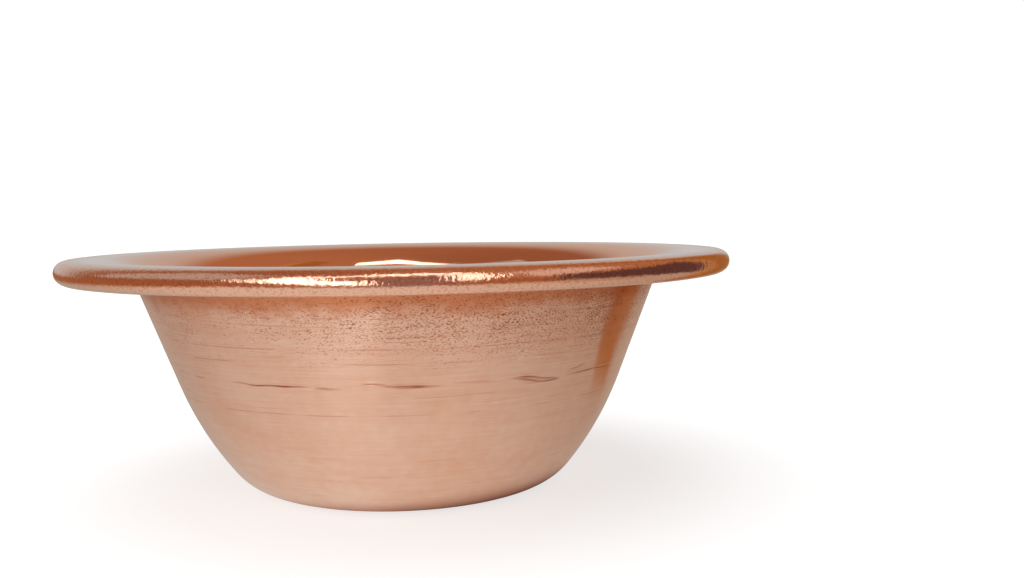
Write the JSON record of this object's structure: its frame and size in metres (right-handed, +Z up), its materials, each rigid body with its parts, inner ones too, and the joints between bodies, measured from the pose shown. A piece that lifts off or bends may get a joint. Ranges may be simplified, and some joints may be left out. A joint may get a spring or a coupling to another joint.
{
  "type": "bowl",
  "caption": "Small round spun copper bowl with a flat base, flaring wall and flat rim whose edge is rolled round a wire.",
  "frame": {"origin": "middle of the flat base, on the surface that the bowl stands on", "axes": "+Z up, along the axis of the bowl. The bowl looks the same from every side, so +X and +Y are free."},
  "size_m": [0.087, 0.087, 0.0308],
  "materials": {
    "spun_copper": "copper, satin spin lines on the wall and polished on the rim",
    "steel_wire": "drawn, dull"
  },
  "bodies": {
    "root": {"bowl_shell": "spun_copper", "rim_wire": "steel_wire"}
  },
  "joints": []
}
